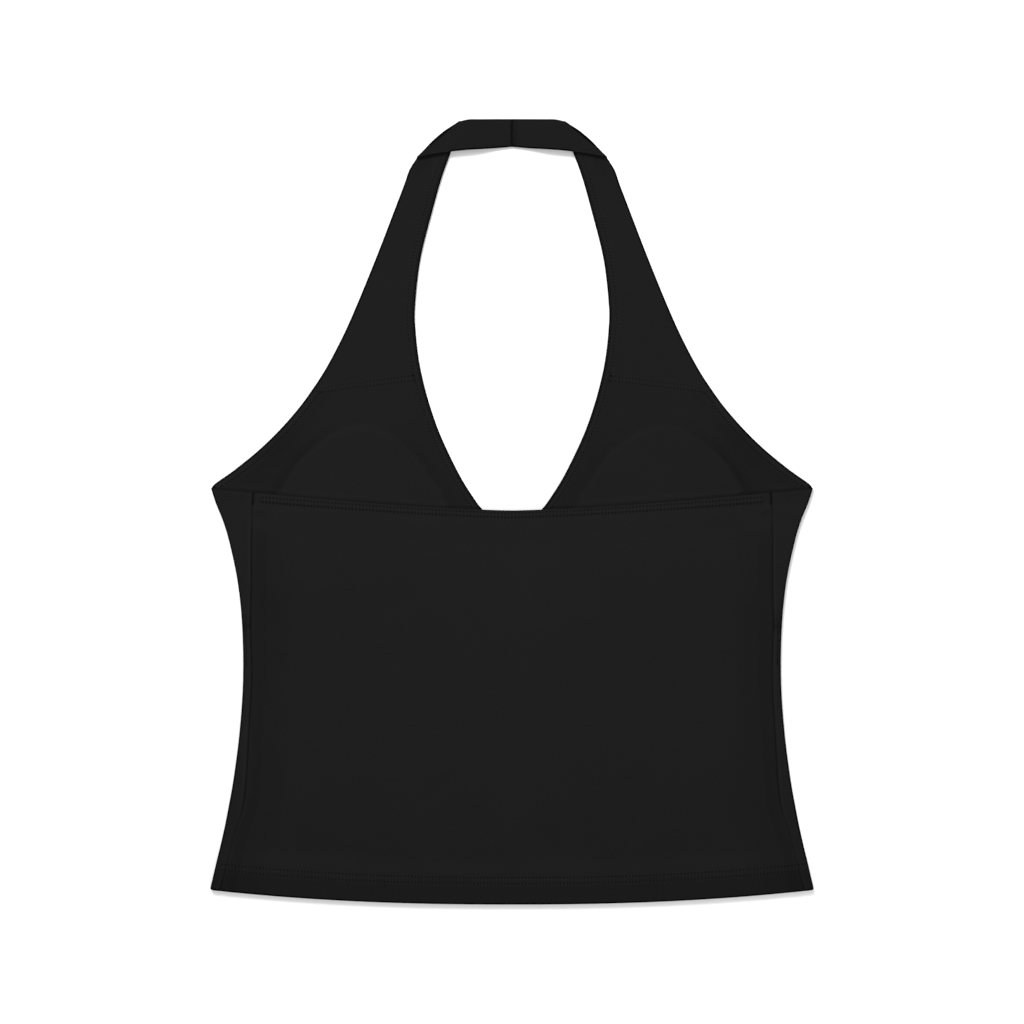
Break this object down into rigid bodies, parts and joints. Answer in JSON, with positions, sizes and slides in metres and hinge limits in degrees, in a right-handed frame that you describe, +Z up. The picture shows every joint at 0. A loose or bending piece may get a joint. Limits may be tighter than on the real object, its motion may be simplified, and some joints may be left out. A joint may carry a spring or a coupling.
{
  "type": "halter neck top",
  "caption": "Sleeveless fitted halter neck top in dark stretch jersey with a joined neck band, padded bust and side seams set to the back, lying flat with its back side up.",
  "frame": {"origin": "under the middle of the garment's length and width, on the surface that it lies on", "axes": "+Y from the hem to the neck band, +X to the garment's side that is on the right when its back side is seen, +Z up out of the surface, towards the back side of the garment"},
  "size_m": [0.3842, 0.5, 0.0077],
  "materials": {
    "shell_jersey": "matt fine rib-knit stretch jersey, near black",
    "lining_jersey": "matt smooth stretch jersey, near black",
    "pad_foam": "cloth-covered moulded foam, near black"
  },
  "bodies": {
    "root": {"front_upper": "shell_jersey", "front_lower": "shell_jersey", "back_panel": "shell_jersey", "bust_lining": "lining_jersey", "strap_facing_left": "lining_jersey", "strap_facing_right": "lining_jersey", "bust_pad_left": "pad_foam", "bust_pad_right": "pad_foam"}
  },
  "joints": []
}
